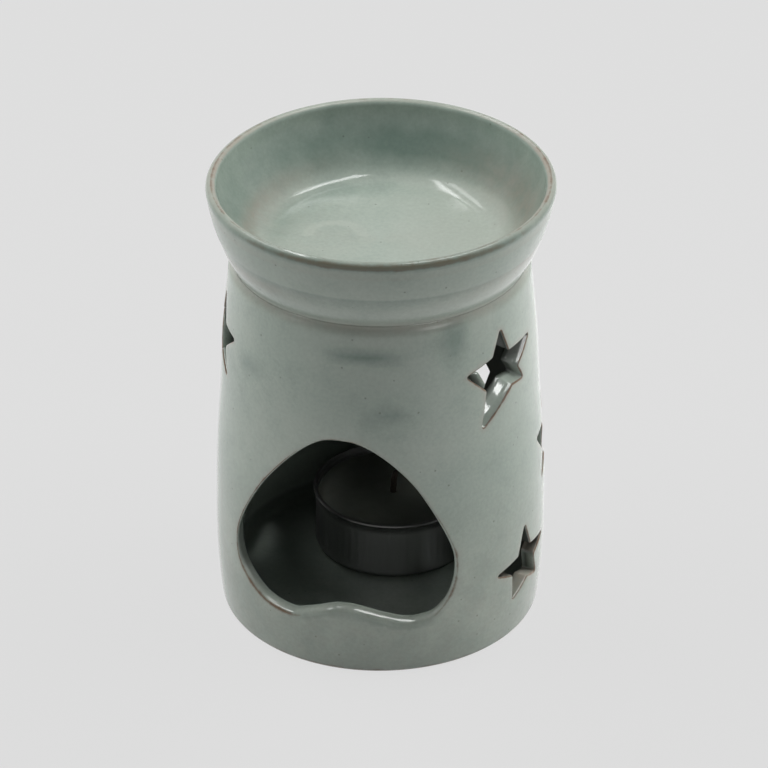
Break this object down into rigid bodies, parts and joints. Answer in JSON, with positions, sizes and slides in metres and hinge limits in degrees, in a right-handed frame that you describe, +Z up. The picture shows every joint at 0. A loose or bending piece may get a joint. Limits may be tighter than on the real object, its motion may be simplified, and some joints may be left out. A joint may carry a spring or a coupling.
{
  "type": "essential oil burner",
  "caption": "Glazed stoneware oil burner: flared oil dish on a tapered body pierced with stars, and an upside-down heart doorway through which a tealight is put in.",
  "frame": {"origin": "middle of the foot ring, on the surface that the burner stands on", "axes": "+Z up along the pot's turning axis, -Y out of the heart doorway, +X to the right of someone who faces the doorway"},
  "size_m": [0.08, 0.08, 0.11],
  "materials": {
    "celadon_glaze": "glossy grey-green glaze over stoneware, breaking to brown at the edges",
    "pressed_aluminium": "drawn thin sheet, bright",
    "candle_wax": "cast paraffin wax, satin",
    "cotton_wick": "braided cotton, waxed",
    "tinned_steel": "pressed thin sheet"
  },
  "bodies": {
    "burner": {"burner_body": "celadon_glaze", "oil_dish": "celadon_glaze"},
    "tealight": {"tealight_cup": "pressed_aluminium", "tealight_wax": "candle_wax", "tealight_wick": "cotton_wick", "wick_sustainer": "tinned_steel"}
  },
  "joints": [
    {"name": "tealight_withdraw", "type": "slide", "parent": "burner", "child": "tealight", "axis": [0, -0.9119, 0.4104], "range_m": [0, 0.086]}
  ]
}
